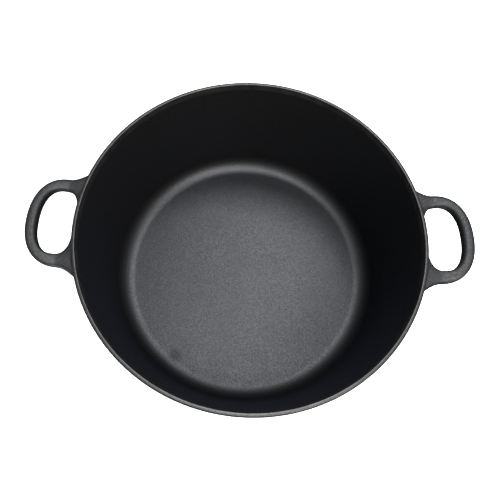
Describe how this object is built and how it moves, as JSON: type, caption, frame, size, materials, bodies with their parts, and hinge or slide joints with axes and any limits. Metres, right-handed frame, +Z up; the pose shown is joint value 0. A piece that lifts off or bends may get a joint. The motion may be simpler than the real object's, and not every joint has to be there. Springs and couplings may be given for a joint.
{
  "type": "dutch oven",
  "caption": "Round open cast iron cooking pot with a leaning wall, a rounded floor corner, a flat base and an upswept loop handle on each side for lifting.",
  "frame": {"origin": "middle of the pot's base, on the surface that it stands on", "axes": "+X across the two handles, +Y across the pot, +Z up"},
  "size_m": [0.3632, 0.286, 0.1305],
  "materials": {
    "body_iron": "matte black coating",
    "handle_iron": "matte black coating, as cast"
  },
  "bodies": {
    "root": {"pot_body": "body_iron", "handle_left": "handle_iron", "handle_right": "handle_iron"}
  },
  "joints": []
}
